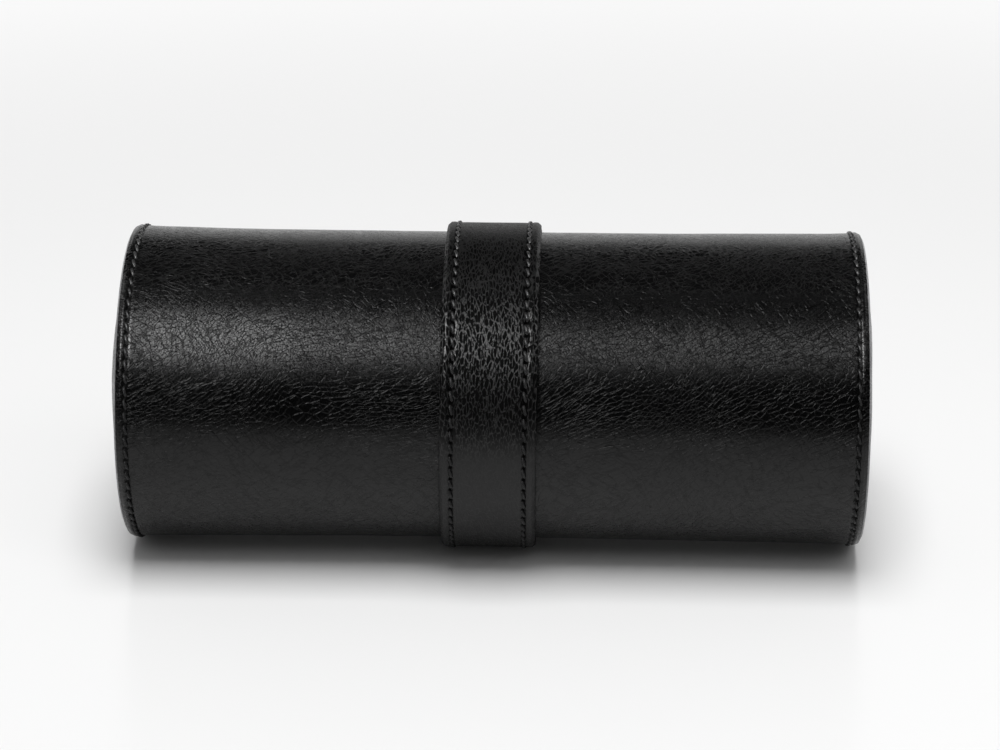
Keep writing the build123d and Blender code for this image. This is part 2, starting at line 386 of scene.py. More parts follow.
def grained_leather(graph, colour, own_map, grain, sewn=None):
    """Leather with small cells, crossed by two sets of fine creases that come and go."""
    place = graph.place(own_map)
    drift = graph.clouds(place, 0.02, 1.0, 1)
    ripple = graph.clouds(place, 0.35, 2.0, 1)
    speck = graph.clouds(place, 2.2, 2.0)
    broad = graph.clouds(place, 0.035, 3.0)
    turn = graph.eased(graph.clouds(place, 0.06, 1.0), 0.4, 0.6)
    bent = graph.moved(place, graph.scaled(drift, grain["drift"]))
    laid = graph.moved(bent, graph.scaled(ripple, grain["ripple"]))
    pebbles = graph.stretched(laid, *grain["cells"])
    edge = graph.cells(pebbles, "DISTANCE_TO_EDGE", "Distance")
    pebble = graph.eased(edge, *grain["valley"])
    lot = graph.cells(pebbles, "F1", "Color")
    rise = graph.add("ShaderNodeSeparateColor", {}, {0: lot})
    first, second = grain["folds"]
    line_a = graph.crease(graph.stretched(laid, *first), grain["line"])
    line_b = graph.crease(graph.stretched(laid, *second), grain["line"])
    creases = line_a * line_b
    fold = grain["fold_depth"]
    height = pebble * (rise * 0.5 + 0.75) * grain["cell_depth"] + speck * grain["sparkle"]
    height = height + line_a * (turn * fold + fold * 0.3) + line_b * (fold * 1.3 - turn * fold)
    tops = (pebble if grain["cell_depth"] > 0.0 else 1.0 - pebble) * creases
    coat_sheen = tops * (1.0 - grain["groove"]) + grain["groove"]
    coat_sheen = coat_sheen * graph.eased(speck, 0.28, 0.72, *grain["coat_sheen"])
    # On the roll's own map the coat sheen is painted by place for how the roll is lit: a painted
    # glint on the net of lines over the top, painted shade in the dark band below the highlight,
    # and an even painted sheen on the lower half and at the back.
    if own_map:
        round_roll = graph.part(place, 1)
        over = graph.eased(round_roll, *PAINTED_GLINT_ENDS, 1.0, 0.0)
        net = (1.0 - pebble * creases) ** 1.8
        coat_sheen = coat_sheen + over * (net * grain["net"] - coat_sheen)
        coat_sheen = coat_sheen * graph.eased(round_roll, *PAINTED_SHADE_STARTS, 1.0, grain["dip"])
        painted_even_sheen = graph.eased(abs(round_roll - TOP_LINE), *PAINTED_EVEN_FROM_TOP)
        behind = graph.eased(round_roll, *BACK_ENDS, 1.0, 0.0)
        lines = creases * grain["lines"] + (1.0 - grain["lines"])
        even = (speck * 0.4 + 0.8) * lines * grain["painted_even_sheen"]
        coat_sheen = coat_sheen + painted_even_sheen * (even - coat_sheen)
        coat_sheen = coat_sheen + behind * (even * (pebble * 0.75 + 0.45) - coat_sheen)
    # Base colour a little darker in the valleys and creases, painted shade, with random tone from
    # the broad noise.
    tone_and_painted_shade = tops * 0.75 + broad * 0.25
    rough = (grain["gloss"] + grain["dull"]) - tops * grain["dull"]
    rough = rough + broad * 0.05 + speck * 0.05
    if sewn:
        seam, pitch = sewn
        beside = abs(graph.part(place, 0)) - seam
        off = graph.part(place, 1) % pitch - pitch / 2
        hole = graph.eased((beside * beside + off * off) ** 0.5, *STITCH_HOLE, 1.0, 0.0)
        height = height - hole * 2.4
        # Painted shadow: the base colour goes dark in the stitch holes.
        tone_and_painted_shade = tone_and_painted_shade - hole * 2.0
        rough = rough + hole * 0.5
        coat_sheen = coat_sheen * (1.0 - hole)
    return {
        "Base Color": graph.tint(tone_and_painted_shade, shade(colour, 0.3), shade(colour, 1.2)),
        "Roughness": rough,
        "Normal": graph.bump(1.0, grain["depth"], height),
        "Specular IOR Level": grain["shine"],
        "Coat Weight": coat_sheen,
        "Coat Roughness": grain["polish"],
        "Coat IOR": grain["coat"],
    }


def edge_paint(graph, colour):
    """Burnished edge paint with a slight ripple."""
    ripple = graph.clouds(graph.stretched(graph.place(), 0.0, (0.6, 2.0, 2.0)), 1.0, 3.0)
    return {
        "Base Color": graph.tint(ripple, shade(colour, 0.6), shade(colour, 1.3)),
        "Roughness": ripple * 0.2 + 0.22,
        "Normal": graph.bump(0.5, 0.00002, ripple),
        "Specular IOR Level": 0.8,
        "Coat Weight": ripple * 0.4 + 0.7,
        "Coat Roughness": 0.2,
        "Coat IOR": 4.0,
    }


def thread_with_painted_glint(graph, colour):
    """Thread with its twist, with a painted glint in its coat where it lies high on the roll."""
    place = graph.place()
    twist = graph.add(
        "ShaderNodeTexWave",
        {"bands_direction": "DIAGONAL"},
        {"Vector": place, "Scale": 1.1, "Distortion": 0.6},
    )
    grey = graph.add("ShaderNodeSeparateColor", {}, {0: twist})
    return {
        "Base Color": graph.tint(grey, shade(colour, 0.5), shade(colour, 1.5)),
        "Roughness": 0.45 - grey * 0.1,
        "Normal": graph.bump(0.8, 0.00008, grey),
        "Specular IOR Level": 0.25,
        # Painted glint: the coat sheen grows with height, so only stitches high on the roll shine.
        "Coat Weight": graph.eased(graph.part(place, 2), 46.0, 90.0) * (grey * 0.8 + 0.2),
        "Coat Roughness": 0.3,
        "Coat IOR": 1.9,
    }


def brushed_suede(graph, colour):
    """Short nap, mottled where it has been stroked one way and the other."""
    place = graph.place()
    nap = graph.clouds(place, 2.4, 4.0)
    tuft = graph.eased(graph.clouds(place, 0.8, 2.0), 0.3, 0.7)
    sweep_marks = graph.clouds(graph.stretched(place, 0.4, (22.0, 7.0, 12.0)), 1.0, 3.0)
    stroke = graph.eased(sweep_marks, 0.35, 0.65)
    brushed = stroke * 0.4 + tuft * 0.3 + nap * 0.3
    return {
        "Base Color": graph.tint(brushed, shade(colour, 0.62), shade(colour, 1.3)),
        "Roughness": 0.98 - nap * 0.1,
        "Normal": graph.bump(0.8, 0.0003, nap * 0.6 + tuft * 0.4),
        "Specular IOR Level": 0.2,
        "Sheen Weight": 0.45,
        "Sheen Roughness": 0.4,
    }


def fibre_board(graph, colour):
    """Pressed fibre board."""
    fibre = graph.clouds(graph.stretched(graph.place(), 0.0, (2.5, 0.7, 0.7)), 1.0, 4.0)
    return {
        "Base Color": graph.tint(fibre, shade(colour, 0.7), shade(colour, 1.3)),
        "Roughness": fibre * 0.2 + 0.7,
        "Normal": graph.bump(0.4, 0.0001, fibre),
    }


def nickel_plate(graph, colour):
    """Nickel plate with fine turning marks."""
    mark = graph.clouds(graph.stretched(graph.place(), 0.0, (0.17, 1.7, 1.7)), 1.0, 2.0)
    return {
        "Base Color": graph.tint(mark, shade(colour, 0.9), shade(colour, 1.05)),
        "Roughness": mark * 0.2 + 0.2,
        "Metallic": 1.0,
    }


FINISHES = {}


def make_finishes(context):
    colours = context.scene.roll_colours
    sizes = context.scene.roll_sizes
    pitch = context.scene.roll_stitches.pitch * 1000
    end_seam = ((HALF_LENGTH - sizes.seam_inset) * 1000, pitch)
    strap_seam = ((HALF_STRAP - sizes.strap_inset) * 1000, pitch)
    black = colours.leather
    hide, belt = ({key: pair[column] for key, pair in GRAIN.items()} for column in (0, 1))
    cap = {**hide, "coat_sheen": (0.0, 0.15), "dull": 0.2}
    trough = {**hide, "fold_depth": 0.0, "coat_sheen": (0.0, 0.4)}
    recipes = {
        "wrap": ("wrap_leather_finish", grained_leather, black, True, hide, end_seam),
        "strap": ("strap_leather_finish", grained_leather, black, True, belt, strap_seam),
        "cap": ("cap_leather_finish", grained_leather, black, False, cap),
        "trough": ("trough_leather_finish", grained_leather, black, False, trough),
        "edge": ("edge_paint_finish", edge_paint, colours.edge),
        "thread": ("thread_finish", thread_with_painted_glint, colours.thread),
        "suede": ("suede_finish", brushed_suede, colours.suede),
        "cushion": ("cushion_suede_finish", brushed_suede, shade(colours.suede, 1.25)),
        "board": ("board_finish", fibre_board, colours.board),
        "metal": ("magnet_finish", nickel_plate, colours.metal),
    }
    for key, recipe in recipes.items():
        FINISHES[key] = finish_material(*recipe)


def ring_point(x, radius, angle):
    turn = math.radians(angle)
    return (x, radius * math.cos(turn), AXIS_Z + radius * math.sin(turn))


# The two bodies on either side of each bend, and the bend's angles; hang() reads them but ties no
# piece to these bodies.
BENDS = {
    "hinge": ("case", "flap_upper", HINGE_BEND),
    "fold": ("flap_upper", "flap_lower", FOLD_BEND),
    "tab": ("flap_lower", "strap_tab", TAB_BEND),
}


def hang(piece, way, slot, *nodes):
    """Ties a piece to the case, or for a bend only bakes its place into its mesh, and hides the
    solids it stands for; the slot is not used.
    """
    if way == "case":
        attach(piece, "case")
    else:
        first, second, bend = BENDS[way]
        start, end = (ring_point(0.0, ROLL_RADIUS, angle) for angle in bend)
        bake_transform(piece)
    if nodes:
        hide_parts(*nodes)


def placed(name, data):
    """Puts a new object in the scene."""
    piece = bpy.data.objects.new(name, data)
    bpy.context.scene.collection.objects.link(piece)
    return piece


def link(name, mesh, materials):
    mesh.materials.clear()
    for material in materials:
        mesh.materials.append(material)
    mesh.shade_smooth()
    mesh.set_sharp_from_angle(angle=math.radians(50))
    return placed(name, mesh)


def closed_mesh(name, build):
    """Turns the faces of a built shape outward and makes a mesh of it."""
    bmesh.ops.recalc_face_normals(build, faces=build.faces)
    mesh = bpy.data.meshes.new(name)
    build.to_mesh(mesh)
    build.free()
    return mesh


def lofted(name, rings, hubs):
    """A closed mesh through rings of points, with a hub over its first and its last ring."""
    build = bmesh.new()
    rows = [[build.verts.new(point) for point in ring] for ring in rings]
    ends = [(build.verts.new(hub), row) for hub, row in zip(hubs, (rows[0], rows[-1]))]
    count = len(rows[0])
    for step in range(count):
        after = (step + 1) % count
        for near, far in zip(rows, rows[1:]):
            build.faces.new((near[step], far[step], far[after], near[after]))
        for hub, row in ends:
            build.faces.new((hub, row[step], row[after]))
    return closed_mesh(name, build)


def spread(low, high, count):
    return [low + (high - low) * index / count for index in range(count + 1)]


def rounded(share):
    """Height of a quarter circle, from 0 at its edge to 1."""
    return math.sqrt(max(0.0, 1 - (1 - min(1.0, share)) ** 2))


class Layer:
    """One layer of the wrap or of the strap: where it lies, how it is sewn and how it swells."""

    def __init__(self, half_width, inner, outer, seams=(), **shape):
        self.half_width = half_width
        self.outer = outer
        self.seams = seams
        self.middle = (outer + inner) / 2
        self.half = (outer - inner) / 2
        self.bevel = self.half
        self.flare = self.sway = self.puff = self.waist = 0.0
        self.shift = self.lean = self.taper = 0.0
        for key, value in shape.items():
            setattr(self, key, value)

    def across(self, x, angle):
        """Where a place across the layer comes to lie along the roll."""
        high = math.sin(math.radians(angle))
        return x * (1 - self.taper * high) - self.shift + self.lean * high

    def columns(self):
        """Places across the layer, close together at its rounded edges and its seams."""
        widths = (self.half, self.bevel)
        rim = [self.half_width - width * share for share in RIM_SHARES for width in widths]
        places = {round(sign * x, 7) for x in rim for sign in (-1, 1)}
        for seam in self.seams:
            for step in SEAM_STEPS:
                places.update(round(seam + sign * step, 7) for sign in (-1, 1))
        inner_half = self.half_width - max(widths)
        spacing = 0.0035 if self.half_width > 0.05 else 0.0012
        for x in spread(-inner_half, inner_half, math.ceil(2 * inner_half / spacing)):
            if all(abs(x - seam) > SEAM_CLEAR for seam in self.seams):
                places.add(round(x, 7))
        kept = []
        for x in sorted(places):
            if not kept or x - kept[-1] > 0.000015:
                kept.append(x)
        return kept

    def heights(self, x, angle):
        """Outer and inner radius at a place."""
        from_edge = self.half_width - abs(x)
        thick = cut = self.half * rounded(from_edge / self.half)
        if self.bevel > self.half:
            step = 0.12 * min(1.0, from_edge / 0.0001)
            cut = self.half * (step + 0.88 * min(1.0, from_edge / self.bevel))
        lift = self.flare * max(0.0, 1 - from_edge / FLARE_REACH) ** 2
        along = math.radians(angle) * ROLL_RADIUS
        lift += self.sway * noise.noise(Vector((x * 30, along * 24, 0.3)))
        lift += self.sway * 0.5 * noise.noise(Vector((x * 85, along * 70, 5.1)))
        lift += self.waist * ((x / HALF_LENGTH) ** 2 - 0.25)
        dip = sum(math.exp(-(((x - seam) / SEAM_WIDTH) ** 2)) for seam in self.seams) * SEAM_DIP
        swell = self.puff * math.sin(math.pi * min(1.0, from_edge / PUFF_WIDTH)) ** 2
        return self.middle + cut + lift - dip + swell, self.middle - thick + lift


def sweep(name, layers, start, end, materials, round_start=False, round_end=False):
    """Sheets bent round the roll from one angle to another, with rounded edges and closed ends."""
    points = []
    faces = []
    maps = []
    finish = []
    around = ((0, 0), (1, 0), (1, 1), (0, 1))
    for layer, (face_slot, edge_slot) in layers:
        columns = layer.columns()
        across = len(columns)
        first = len(points)
        degrees_round = math.degrees(layer.half / layer.outer)
        angles = spread(start, end, max(3, math.ceil(abs(end - start) / ROW_STEP)))
        tight_ends = []
        for tight, near, sign in ((round_start, start, 1), (round_end, end, -1)):
            if tight:
                tight_ends.append(near)
                angles += [near + sign * degrees_round * share for share in (0.1, 0.3, 0.6, 1.0)]
            else:
                angles.append(near + sign * 0.04)
        angles = sorted(set(round(angle, 5) for angle in angles))
        for angle in angles:
            shares = [abs(angle - near) / degrees_round for near in tight_ends]
            squeeze = min([1.0] + [max(0.2, rounded(share)) for share in shares])
            for x in columns:
                high, low = layer.heights(x, angle)
                middle = (high + low) / 2
                spot = layer.across(x, angle)
                for radius in (high, low):
                    place = ring_point(spot, middle + (radius - middle) * squeeze, angle)
                    points.append((place[0], place[1], max(0.0, place[2])))

        def corner(row, column, side):
            return first + (row * across + column) * 2 + side

        def quad(corners, slot):
            faces.append(corners)
            finish.append(slot)
            for index in corners:
                row, column = divmod((index - first) // 2, across)
                maps.extend((columns[column], math.radians(angles[row]) * ROLL_RADIUS))

        rim = layer.half_width - max(layer.half * 0.85, layer.bevel * 0.97)
        last = len(angles) - 1
        for row in range(last):
            for column in range(across - 1):
                at_edge = abs(columns[column] + columns[column + 1]) / 2 > rim
                for side, turn in ((0, 1), (1, -1)):
                    square = [corner(row + a, column + b, side) for a, b in around]
                    quad(square[::turn], edge_slot if at_edge else face_slot)
            for column, turn in ((0, 1), (across - 1, -1)):
                quad([corner(row + b, column, a) for a, b in around][::turn], edge_slot)
        for row, turn in ((0, 1), (last, -1)):
            for column in range(across - 1):
                quad([corner(row, column + a, b) for a, b in around][::turn], edge_slot)
    mesh = bpy.data.meshes.new(name)
    mesh.from_pydata(points, [], faces)
    mesh.polygons.foreach_set("material_index", finish)
    mesh.uv_layers.new(name="UVMap").data.foreach_set("uv", maps)
    mesh.update()
    return link(name, mesh, materials)


def wrap_layers(sizes):
    seam = HALF_LENGTH - sizes.seam_inset
    under = ROLL_RADIUS - sizes.leather
    shape = {
        "flare": sizes.flare,
        "sway": sizes.sway,
        "waist": sizes.waist,
        "taper": WRAP_TAPER,
    }
    edge = {"puff": WRAP_PUFF, "bevel": sizes.bevel}
    leather = Layer(HALF_LENGTH, under, ROLL_RADIUS, (-seam, seam), **shape, **edge)
    top = under - BACKING_GAP
    backing = Layer(HALF_LENGTH + BACKING_PROUD, top - sizes.backing, top, **shape)
    return leather, backing


def strap_layers(sizes, clearance=STRAP_GAP):
    seam = HALF_STRAP - sizes.strap_inset
    split = ROLL_RADIUS + sizes.strap_lining
    lie = {"shift": sizes.strap_shift, "lean": sizes.strap_lean}
    edge = {"sway": STRAP_SWAY, "puff": STRAP_PUFF, "bevel": sizes.bevel * 0.8}
    top = Layer(HALF_STRAP, split + STRAP_GAP, STRAP_RADIUS, (-seam, seam), **lie, **edge)
    wide = HALF_STRAP + STRAP_PROUD
    lining = Layer(wide, ROLL_RADIUS + clearance, split - STRAP_GAP, **lie)
    return top, lining


class OuterLeather(bpy.types.Operator):
    """Makes the outer leather and its lined backing, in pieces for the wrap, the hinge and the
    flap
    """

    bl_idname = "roll.outer_leather"
    bl_label = "Outer leather"

    def execute(self, context):
        leather, backing = wrap_layers(context.scene.roll_sizes)
        skin = [FINISHES["wrap"], FINISHES["edge"]]
        lined = [FINISHES["suede"], FINISHES["edge"]]
        root, bent = HINGE_BEND
        flap_skin = ("flap_upper_leather", "flap_lower_leather", "fold_web")
        flap_back = [f"flap_{half}_{part}" for part in ("board", "lining") for half in HALVES]
        spans = (
            ("wrap", "case", WRAP_EDGE - 360, root, True, False, ["wrap_leather"], ["wrap_pad"]),
            ("hinge", "hinge", root, bent, False, False, ["hinge_web"], []),
            ("flap", "fold", bent, FLAP_EDGE, False, True, flap_skin, flap_back),
        )
        for part, way, start, end, first, last, skin_nodes, back_nodes in spans:
            cover = sweep(part + "_cover", [(leather, (0, 1))], start, end, skin, first, last)
            back = sweep(part + "_backing", [(backing, (0, 1))], start, end, lined, first, last)
            hang(cover, way, "roll_leather", *skin_nodes)
            hang(back, way, "lining_suede", *back_nodes)
        return {"FINISHED"}


class Strap(bpy.types.Operator):
    """Makes the strap in two sewn layers, from its root at the back to its free end underneath"""

    bl_idname = "roll.strap"
    bl_label = "Strap"

    def execute(self, context):
        sizes = context.scene.roll_sizes
        finishes = [FINISHES["strap"], FINISHES["edge"], FINISHES["cap"]]
        root, bent = HINGE_BEND
        rear = ("strap_rear_leather", "strap_rear_lining")
        front = [f"strap_{half}_{part}" for half in HALVES for part in ("leather", "lining")]
        tab = ("tab_leather", "tab_lining")
        spans = (
            ("strap_rear", "case", STRAP_REAR - 360, root, True, False, STRAP_GAP, rear),
            ("strap_hinge", "hinge", root, bent, False, False, STRAP_GAP, ()),
            ("strap_front", "fold", bent, TAB_ROOT, False, False, STRAP_GAP, front),
            ("strap_end", "tab", TAB_ROOT, TAB_END, False, True, TAB_GAP, tab),
        )
        for name, way, start, end, first, last, gap, nodes in spans:
            top, lining = strap_layers(sizes, gap)
            layers = [(top, (0, 1)), (lining, (2, 1))]
            piece = sweep(name, layers, start, end, finishes, first, last)
            hang(piece, way, "strap_leather", *nodes)
        return {"FINISHED"}


def stitch_tree():
    """Node tree that lays arched stitches along a seam line."""
    tree = bpy.data.node_groups.new("Seam stitches", "GeometryNodeTree")
    face = tree.interface
    face.new_socket("Geometry", in_out="INPUT", socket_type="NodeSocketGeometry")
    for label in STITCH_INPUTS:
        face.new_socket(label, in_out="INPUT", socket_type="NodeSocketFloat")
    face.new_socket("Thread", in_out="INPUT", socket_type="NodeSocketMaterial")
    face.new_socket("Geometry", in_out="OUTPUT", socket_type="NodeSocketGeometry")
    graph = Graph(tree)

    def asked(label):
        return graph.add("NodeGroupInput", {}, None, label)

    def step(kind, inputs, settings=None):
        return graph.add("GeometryNode" + kind, settings, inputs)

    path = step("MeshToCurve", {"Mesh": asked("Geometry")})
    beads = step("ResampleCurve", {"Curve": path, "Length": asked("Pitch")}, {"mode": "LENGTH"})
    here = step("InputPosition", {})
    depth = graph.part(here, 1) - asked("Axis depth")
    height = graph.part(here, 2) - asked("Axis height")
    lie = graph.add(
        "FunctionNodeAxesToRotation",
        {"primary_axis": "Z", "secondary_axis": "X"},
        {0: graph.vector(0.0, depth, height), 1: step("InputTangent", {})},
    )
    slant = graph.add(
        "FunctionNodeEulerToRotation", {}, {0: graph.vector(0.0, 0.0, asked("Slant"))}
    )
    turned = graph.add(
        "FunctionNodeRotateRotation", {"rotation_space": "LOCAL"}, {0: lie, 1: slant}
    )
    half = asked("Length") * 0.5
    ends = {"Start": graph.vector(half * -1.0), "End": graph.vector(half)}
    line = step("ResampleCurve", {"Curve": step("CurvePrimitiveLine", ends), "Count": 7})
    hump = 1.0 - (step("SplineParameter", {}) * 2.0 - 1.0) ** 4.0
    arch = graph.vector(0.0, 0.0, asked("Thickness") * (hump * 0.85 - 0.45))
    line = step("SetPosition", {"Geometry": line, "Offset": arch})
    line = step("SetCurveRadius", {"Curve": line, "Radius": hump * 0.35 + 0.65})
    ring = step("CurvePrimitiveCircle", {"Resolution": 7, "Radius": asked("Thickness") * 0.5})
    stitch = step("CurveToMesh", {"Curve": line, "Profile Curve": ring, "Fill Caps": True})
    rows = step("InstanceOnPoints", {"Points": beads, "Instance": stitch, "Rotation": turned})
    smooth = step("SetShadeSmooth", {"Geometry": step("RealizeInstances", {"Geometry": rows})})
    dressed = step("SetMaterial", {"Geometry": smooth, "Material": asked("Thread")})
    graph.add("NodeGroupOutput", {}, {0: dressed})
    return tree


def seam_row(name, tree, numbers, lines):
    """Turns seam lines into a plain mesh of stitches; the numbers go to STITCH_INPUTS."""
    path = bpy.data.meshes.new(name + "_path")
    points = []
    edges = []
    for line in lines:
        first = len(points)
        points.extend(line)
        edges.extend((first + index, first + index + 1) for index in range(len(line) - 1))
    path.from_pydata(points, edges, [])
    carrier = placed(name + "_path", path)
    modifier = carrier.modifiers.new("Stitches", "NODES")
    modifier.node_group = tree
    values = dict(zip(STITCH_INPUTS, numbers), Thread=FINISHES["thread"])
    for item in tree.interface.items_tree:
        if item.in_out == "INPUT" and item.name in values:
            modifier[item.identifier] = values[item.name]
    settle(carrier)
    mesh = carrier.data
    mesh.name = name
    bpy.data.objects.remove(carrier)
    bpy.data.meshes.remove(path)
    return placed(name, mesh)


def settle(piece):
    """Replaces a piece's mesh by what its modifiers make of it."""
    bpy.context.view_layer.update()
    done = piece.evaluated_get(bpy.context.evaluated_depsgraph_get())
    mesh = bpy.data.meshes.new_from_object(done)
    piece.modifiers.clear()
    piece.data = mesh


def seam_lines(layer, start, end, pitch):
    """Lines along a layer's seams, a whole number of stitches long."""
    turn = math.degrees(pitch / ROLL_RADIUS)
    first = math.ceil(start / turn) * turn
    count = int((end - first) / turn)
    if count < 1:
        return []
    lines = []
    for seam in layer.seams:
        line = []
        for angle in spread(first, first + count * turn, count * 3):
            high = layer.heights(seam, angle)[0]
            line.append(ring_point(layer.across(seam, angle), high, angle))
        lines.append(line)
    return lines


class Stitches(bpy.types.Operator):
    """Sews the end seams of the wrap and the edge seams of the strap"""

    bl_idname = "roll.stitches"
    bl_label = "Stitches"

    def execute(self, context):
        scene = context.scene
        sizes = scene.roll_stitches
        tree = stitch_tree()
        wrap = wrap_layers(scene.roll_sizes)[0]
        strap = strap_layers(scene.roll_sizes)[0]
        root, bent = HINGE_BEND
        wrap_start = WRAP_EDGE - 360 + SEAM_STOP
        flap = ("flap_lower_thread", "flap_upper_thread")
        front = ("strap_lower_thread", "strap_upper_thread")
        spans = (
            ("wrap", "case", wrap, wrap_start, root, ["wrap_thread"]),
            ("hinge", "hinge", wrap, root, bent, []),
            ("flap", "fold", wrap, bent, FLAP_EDGE - SEAM_STOP, flap),
            ("strap_rear", "case", strap, STRAP_SEAM[0], root, ["strap_rear_thread"]),
            ("strap_hinge", "hinge", strap, root, bent, []),
            ("strap_front", "fold", strap, bent, TAB_ROOT, front),
            ("strap_end", "tab", strap, TAB_ROOT, STRAP_SEAM[1], ["tab_thread"]),
        )
        for name, way, layer, start, end, nodes in spans:
            pitch = sizes.pitch * layer.outer / ROLL_RADIUS * 0.99
            numbers = (pitch, sizes.length, sizes.thickness, sizes.slant, AXIS_Z, 0.0)
            lines = seam_lines(layer, start, end, sizes.pitch)
            piece = seam_row(name + "_stitches", tree, numbers, lines)
            hang(piece, way, "thread", *nodes)
        return {"FINISHED"}


class EndCaps(bpy.types.Operator):
    """Makes the domed, padded leather ends, drawn in a little round their rims"""

    bl_idname = "roll.end_caps"
    bl_label = "End caps"

    def height(self, rise, share, turn, sign):
        """How far the leather stands out, at a share of its radius and a turn round it."""
        dome = rise * math.sqrt(max(0.0, 1 - share ** 2.3))
        if share == 1.0:
            return dome
        fold = math.sin(turn * CAP_PUCKERS + math.sin(turn * 5) * 1.5)
        pucker = CAP_PUCKER_RISE * fold * share ** 9
        reach = share * 2.2
        spot = Vector((reach * math.cos(turn), reach * math.sin(turn), sign))
        return max(0.0, dome + (pucker + CAP_WAVES * noise.noise(spot)))

    def execute(self, context):
        sizes = context.scene.roll_sizes
        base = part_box("end_leather_right")[0].x
        turns = [2 * math.pi * step / CAP_STEPS for step in range(CAP_STEPS)]
        for side, sign, rise in (("left", -1, sizes.cap_left), ("right", 1, sizes.cap_right)):
            rings = []
            for share in CAP_SHARES:
                ring = []
                for turn in turns:
                    x = sign * (base + self.height(rise, share, turn, sign))
                    y = CAP_RADIUS * share * math.cos(turn)
                    z = AXIS_Z + CAP_RADIUS * share * math.sin(turn)
                    ring.append((x, y, z))
                rings.append(ring)
            hubs = [(sign * (base + rise), 0.0, AXIS_Z), (sign * base, 0.0, AXIS_Z)]
            name = "end_cover_" + side
            cap = link(name, lofted(name, rings, hubs), [FINISHES["cap"]])
            hang(cap, "case", "roll_leather", "end_leather_" + side, "end_pad_" + side)
        return {"FINISHED"}


class Inside(bpy.types.Operator):
    """Covers the dividers in suede, binds the trough's lip and finishes the plain inner pieces"""

    bl_idname = "roll.inside"
    bl_label = "Lining and dividers"

    def outline(self):
        """A divider's outline: the lining's arc, and a chord with rounded corners."""
        cut = math.degrees(math.acos(CHORD_DISTANCE / LINING_RADIUS))
        arc = spread(OPEN_DIRECTION + cut, OPEN_DIRECTION + 360 - cut, 110)
        outline = [Vector(ring_point(0.0, LINING_RADIUS - LINING_GAP, angle)) for angle in arc]
        ends = (outline[0].copy(), outline[-1].copy())
        outline += [ends[1].lerp(ends[0], share / 24) for share in range(1, 24)]
        count = len(outline)
        for _ in range(26):
            eased = []
            for index, point in enumerate(outline):
                after = outline[(index + 1) % count]
                eased.append((outline[index - 1] + point + after) / 3)
            for index, point in enumerate(outline):
                if min((point - end).length for end in ends) < CORNER_REACH:
                    outline[index] = eased[index]
        return outline

    def divider(self, side):
        low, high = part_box("divider_suede_" + side)
        middle = (low.x + high.x) / 2
        half = (high.x - low.x) / 2
        outline = self.outline()
        centre = sum(outline, Vector()) / len(outline)
        rings = []
        before = [(-place, inset) for place, inset in DIVIDER_EDGE]
        for place, inset in (*before, (0.0, 0.0), *reversed(DIVIDER_EDGE)):
            ring = []
            for point in outline:
                spot = point + (centre - point).normalized() * inset
                ring.append((middle + half * place, spot.y, spot.z))
            rings.append(ring)
        reach = half + DIVIDER_SWELL
        hubs = [(middle + sign * reach, centre.y, centre.z) for sign in (-1, 1)]
        name = "divider_cover_" + side
        cover = link(name, lofted(name, rings, hubs), [FINISHES["suede"]])
        hang(cover, "case", "lining_suede", "divider_board_" + side, "divider_suede_" + side)

    def execute(self, context):
        for side in ("left", "right"):
            self.divider(side)
        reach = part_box("cradle_board")[1].x - LIP_INSET
        binding = Layer(reach, LINING_RADIUS - LINING_GAP, CRADLE_RADIUS + LIP_PROUD)
        start = LIP_EDGE - 360
        finishes = [FINISHES["wrap"], FINISHES["edge"]]
        layers = [(binding, (0, 0))]
        trim = sweep("lip_trim", layers, start, start + LIP_WIDTH, finishes, True, False)
        hang(trim, "case", "roll_leather", "lip_binding")
        plain = {
            "trough": ("cradle_board",),
            "suede": ("cradle_lining", "end_lining_left", "end_lining_right"),
            "board": ("end_board_left", "end_board_right"),
            "metal": ("keeper_magnet", "tab_magnet"),
        }
        for finish, nodes in plain.items():
            for node in nodes:
                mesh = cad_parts[node].data
                mesh.materials.clear()
                mesh.materials.append(FINISHES[finish])
        return {"FINISHED"}


